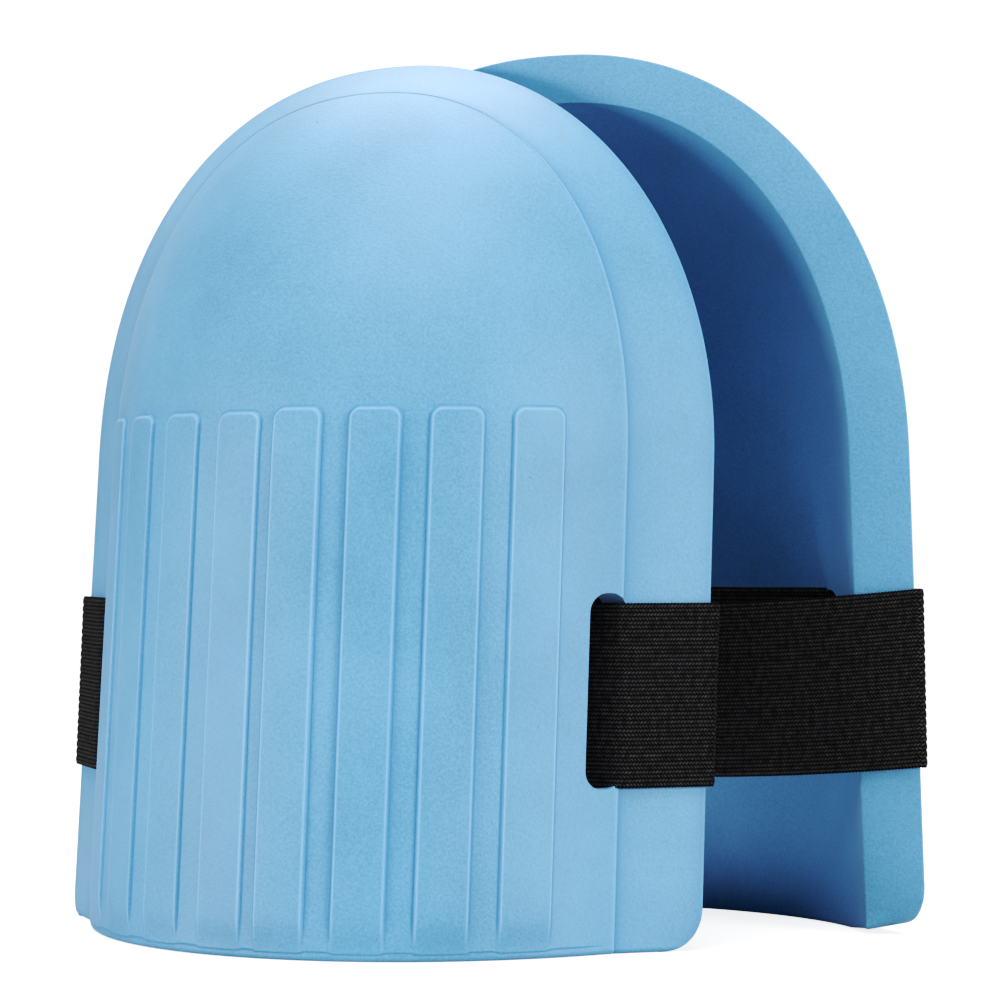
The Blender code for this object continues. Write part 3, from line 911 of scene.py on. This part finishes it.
def foam_look():
    look = Look("foam", FOAM_BLUE, 0.62)
    where = look.add("ShaderNodeTexCoord").outputs["Object"]
    grain = look.noise(where, GRAIN_SCALE, 3.0, 0.6)
    cloud = look.noise(where, CLOUD_SCALE, 3.0, 0.55)
    cells = look.add("ShaderNodeTexVoronoi", {"Vector": where, "Scale": PIT_SCALE})
    pit = look.remap(cells.outputs["Distance"], 0.0, PIT_RADIUS, 1.0, 0.0)
    chance = look.add("ShaderNodeSeparateColor", {0: cells.outputs["Color"]}).outputs[0]
    kept = look.math("GREATER_THAN", chance, 1.0 - PIT_SHARE)
    pit = look.math("MULTIPLY", pit, kept)
    light = tuple(min(channel * 1.12 + 0.02, 1.0) for channel in FOAM_BLUE) + (1.0,)
    dark = tuple(channel * 0.86 for channel in FOAM_BLUE) + (1.0,)
    shade = look.math("ADD", look.math("MULTIPLY", grain, 0.6), look.math("MULTIPLY", cloud, 0.4))
    colour = look.mix(look.remap(shade, 0.35, 0.65, 0.0, 1.0), dark, light)
    # Painted highlight on the ribs' shoulders and the crease's lip, and painted shade at the ribs' feet and
    # beside the crease and the rim
    painted_shading = look.add("ShaderNodeAttribute", attribute_name="painted_edge_shading").outputs["Fac"]
    bright = tuple(min(channel * 1.3 + 0.1, 1.0) for channel in FOAM_BLUE) + (1.0,)
    painted_shade_colour = tuple(channel * share for channel, share in zip(FOAM_BLUE, PAINTED_SHADE_SHARES)) + (1.0,)
    colour = look.mix(look.remap(painted_shading, 0.0, 1.0, 0.0, 0.75), colour, bright)
    colour = look.mix(look.remap(painted_shading, 0.0, -1.0, 0.0, 1.0), colour, painted_shade_colour)
    # Painted shade in the pits, where the bump sinks
    pit_painted_shade = tuple(channel * 0.45 for channel in FOAM_BLUE) + (1.0,)
    look.drive("Base Color", look.mix(pit, colour, pit_painted_shade))
    look.drive("Roughness", look.remap(grain, 0.3, 0.7, 0.5, 0.64))
    look.shader.inputs["Specular IOR Level"].default_value = 0.6
    look.shader.inputs["Sheen Weight"].default_value = 0.12
    look.shader.inputs["Sheen Roughness"].default_value = 0.5
    fine = look.bump(grain, GRAIN_BUMP * MM)
    wavy = look.bump(cloud, CLOUD_BUMP * MM, 1.0, fine)
    look.drive("Normal", look.bump(pit, -PIT_DEPTH * MM, 1.0, wavy))
    return look.material


def elastic_look():
    """Two columns of stitches in each wale, slanting opposite ways, with painted shade, near black, in the
    hole between stitches.
    """
    look = Look("elastic", ELASTIC_BLACK, 0.6)
    weave = look.add("ShaderNodeUVMap", uv_map="weave").outputs[0]
    split = look.add("ShaderNodeSeparateXYZ", {0: weave})
    along, across = split.outputs[0], split.outputs[1]
    half = look.math("FRACT", look.math("MULTIPLY", across, 2.0))
    side = look.math("GREATER_THAN", look.math("FRACT", across), 0.5)
    lean = look.remap(side, 0.0, 1.0, 1.0, -1.0)
    slant = look.math("MULTIPLY", look.math("SUBTRACT", half, 0.5), lean)
    phase = look.math("ADD", along, look.math("ADD", slant, look.math("MULTIPLY", side, 0.5)))
    wave = look.math("ABSOLUTE", look.math("SINE", look.math("MULTIPLY", phase, math.pi)))
    round_across = look.math("SINE", look.math("MULTIPLY", half, math.pi))
    stitch = look.math("MULTIPLY", look.math("POWER", wave, 0.6), look.math("POWER", round_across, 0.6))
    fuzz = look.noise(look.add("ShaderNodeTexCoord").outputs["Object"], 4200.0, 2.0)
    height = look.math("ADD", stitch, look.math("MULTIPLY", fuzz, 0.35))
    # Painted shade: near black where the stitches sink into the holes between them
    painted_hole_shade = (*HOLE_PAINTED_SHADE, 1.0)
    worn = tuple(channel * 2.5 for channel in ELASTIC_BLACK) + (1.0,)
    dull = tuple(channel * 0.6 for channel in ELASTIC_BLACK) + (1.0,)
    uneven = look.noise(weave, 0.7, 2.0, 0.7)
    yarn = look.mix(look.remap(uneven, 0.35, 0.75, 0.0, 1.0), dull, worn)
    look.drive("Base Color", look.mix(look.remap(stitch, 0.45, 0.95, 0.0, 1.0), painted_hole_shade, yarn))
    look.shader.inputs["Specular IOR Level"].default_value = 0.12
    look.shader.inputs["Sheen Weight"].default_value = 0.02
    look.drive("Normal", look.bump(height, 0.22 * MM))
    return look.material


def fuzzy_look(name, colour, scale, depth, roughness):
    look = Look(name, colour, roughness)
    where = look.add("ShaderNodeTexCoord").outputs["Object"]
    cells = look.add("ShaderNodeTexVoronoi", {"Vector": where, "Scale": scale})
    look.drive("Normal", look.bump(cells.outputs["Distance"], -depth * MM))
    # Painted shade: darker towards the cells' edges, where the bump sinks
    dark = tuple(channel * 0.4 for channel in colour) + (1.0,)
    look.drive("Base Color", look.mix(cells.outputs["Distance"], (*colour, 1.0), dark))
    return look.material


def thread_look():
    """Twisted thread: strands that wind round it, and a worn shade here and there."""
    look = Look("thread", THREAD_BLACK, 0.6)
    where = look.add("ShaderNodeTexCoord").outputs["Object"]
    twist = look.add("ShaderNodeTexWave", {"Vector": where, "Scale": 1250.0}, bands_direction="DIAGONAL")
    worn = tuple(channel * 2.2 for channel in THREAD_BLACK) + (1.0,)
    fuzz = look.noise(where, 3600.0)
    wear = look.remap(fuzz, 0.35, 0.65, 0.0, 1.0)
    look.drive("Base Color", look.mix(wear, (*THREAD_BLACK, 1.0), worn))
    look.drive("Normal", look.bump(twist.outputs["Fac"], 0.08 * MM))
    return look.material


# ---------------------------------------------------------------- stage


def aim(obj, target):
    direction = Vector(target) - obj.location
    obj.rotation_euler = direction.to_track_quat("-Z", "Y").to_euler()


def softbox(name, azimuth, elevation, distance, size, power):
    """A flat light that faces the pads. Azimuth is in degrees from +X, turning towards +Y."""
    light = bpy.data.lights.new(name, "AREA")
    light.shape = "RECTANGLE"
    light.size, light.size_y = size
    light.energy = power
    obj = bpy.data.objects.new(name, light)
    turn, tilt = math.radians(azimuth), math.radians(elevation)
    flat = distance * math.cos(tilt)
    rise = LIGHTS_AIM[2] + distance * math.sin(tilt)
    obj.location = (flat * math.cos(turn), flat * math.sin(turn), rise)
    bpy.context.scene.collection.objects.link(obj)
    aim(obj, LIGHTS_AIM)


def pale_floor():
    floor_mesh = bpy.data.meshes.new("floor")
    bm = bmesh.new()
    bmesh.ops.create_circle(bm, cap_ends=True, segments=64, radius=FLOOR_RADIUS)
    bm.to_mesh(floor_mesh)
    bm.free()
    floor = bpy.data.objects.new("floor", floor_mesh)
    bpy.context.scene.collection.objects.link(floor)
    pale = Look("pale_floor", (FLOOR_GREY, FLOOR_GREY, FLOOR_GREY), 0.9)
    pale.shader.inputs["Emission Color"].default_value = (1.0, 1.0, 1.0, 1.0)
    seen = pale.add("ShaderNodeLightPath").outputs["Is Camera Ray"]
    pale.drive("Emission Strength", pale.math("MULTIPLY", seen, FLOOR_GLOW))
    floor_mesh.materials.append(pale.material)


def pale_world():
    """A dim even light all round, which the camera sees as a bright backdrop."""
    world = bpy.data.worlds.new("studio")
    bpy.context.scene.world = world
    world.use_nodes = True
    background = world.node_tree.nodes["Background"]
    background.inputs["Color"].default_value = (1.0, 1.0, 1.0, 1.0)
    seen = world.node_tree.nodes.new("ShaderNodeLightPath").outputs["Is Camera Ray"]
    strength = world.node_tree.nodes.new("ShaderNodeMapRange")
    strength.inputs["To Min"].default_value = AMBIENT
    strength.inputs["To Max"].default_value = BACKDROP
    world.node_tree.links.new(seen, strength.inputs["Value"])
    world.node_tree.links.new(strength.outputs[0], background.inputs["Strength"])


def studio():
    pale_floor()
    pale_world()
    for light in LIGHTS:
        softbox(*light)
    reflector()
    set_tone(bpy.context.scene.view_settings)


def reflector():
    """A dim card on the floor between the pads, which lifts the shade low in their hollows."""
    light = bpy.data.lights.new("reflector", "AREA")
    light.shape = "RECTANGLE"
    light.size, light.size_y = REFLECTOR_SIZE
    light.energy = REFLECTOR_POWER
    obj = bpy.data.objects.new("reflector", light)
    obj.location = REFLECTOR_AT
    obj.rotation_euler = (math.pi, 0.0, 0.0)
    obj.visible_camera = False
    bpy.context.scene.collection.objects.link(obj)


def set_tone(view):
    view.view_transform = "Standard"
    view.use_curve_mapping = True
    mapping = view.curve_mapping
    mapping.use_clip = False
    curve = mapping.curves[3]
    curve.points[-1].location = (TONE_WHITE, 1.0)
    for point in TONE:
        curve.points.new(*point)
    mapping.update()


def camera():
    data = bpy.data.cameras.new("camera")
    data.lens = CAMERA_LENS
    data.sensor_width = CAMERA_SENSOR
    data.clip_start = 0.01
    obj = bpy.data.objects.new("camera", data)
    obj.location = CAMERA_AT
    obj.rotation_euler = (CAMERA_TILT, 0.0, CAMERA_TURN)
    bpy.context.scene.collection.objects.link(obj)
    bpy.context.scene.camera = obj


def write_size():
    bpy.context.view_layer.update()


def main():
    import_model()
    materials = {
        "foam": foam_look(),
        "elastic": elastic_look(),
        "hook": fuzzy_look("hook_tape", HOOK_BLACK, scale=1300.0, depth=0.3, roughness=0.5),
        "loop": fuzzy_look("loop_tape", LOOP_BLACK, scale=2400.0, depth=0.4, roughness=0.95),
        "thread": thread_look(),
    }
    for prefix, pad in PADS.items():
        foam_shell(prefix, pad, materials["foam"])
        strap(prefix, pad, materials)
        closure(prefix, pad, materials)
    studio()
    camera()
    write_size()


main()
